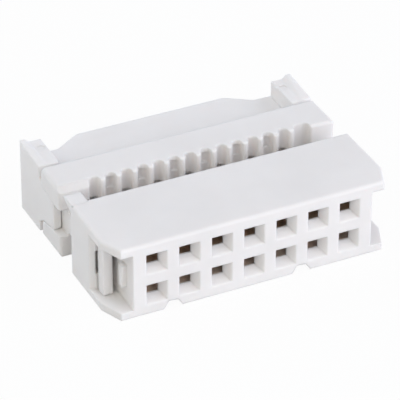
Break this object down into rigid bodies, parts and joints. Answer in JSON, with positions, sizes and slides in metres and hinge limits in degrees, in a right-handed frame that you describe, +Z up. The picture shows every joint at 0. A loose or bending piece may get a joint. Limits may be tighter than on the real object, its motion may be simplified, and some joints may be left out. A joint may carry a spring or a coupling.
{
  "type": "insulation displacement connector",
  "caption": "Ribbon-cable socket with a grid of square pin holes, an open press-on cover with wire grooves and latch legs, and a clip-on strain relief.",
  "frame": {"origin": "centre of the mating face, midway between the two rows and between the two ends", "axes": "+X along the rows, +Y from the mating face towards the cable, +Z up from the side with the polarising grooves"},
  "size_m": [0.0222, 0.0176, 0.0061],
  "materials": {
    "moulding": "light grey moulded plastic with a fine satin surface",
    "contact_metal": "stamped phosphor bronze"
  },
  "bodies": {
    "housing": {"housing": "moulding", "contact_upper_1": "contact_metal", "contact_upper_2": "contact_metal", "contact_upper_3": "contact_metal", "contact_upper_4": "contact_metal", "contact_upper_5": "contact_metal", "contact_upper_6": "contact_metal", "contact_upper_7": "contact_metal", "contact_lower_1": "contact_metal", "contact_lower_2": "contact_metal", "contact_lower_3": "contact_metal", "contact_lower_4": "contact_metal", "contact_lower_5": "contact_metal", "contact_lower_6": "contact_metal", "contact_lower_7": "contact_metal"},
    "cover": {"cover": "moulding", "strain_relief": "moulding"}
  },
  "joints": [
    {"name": "cover_press", "type": "slide", "parent": "housing", "child": "cover", "axis": [0, -1, 0], "range_m": [0, 0.0014]}
  ]
}
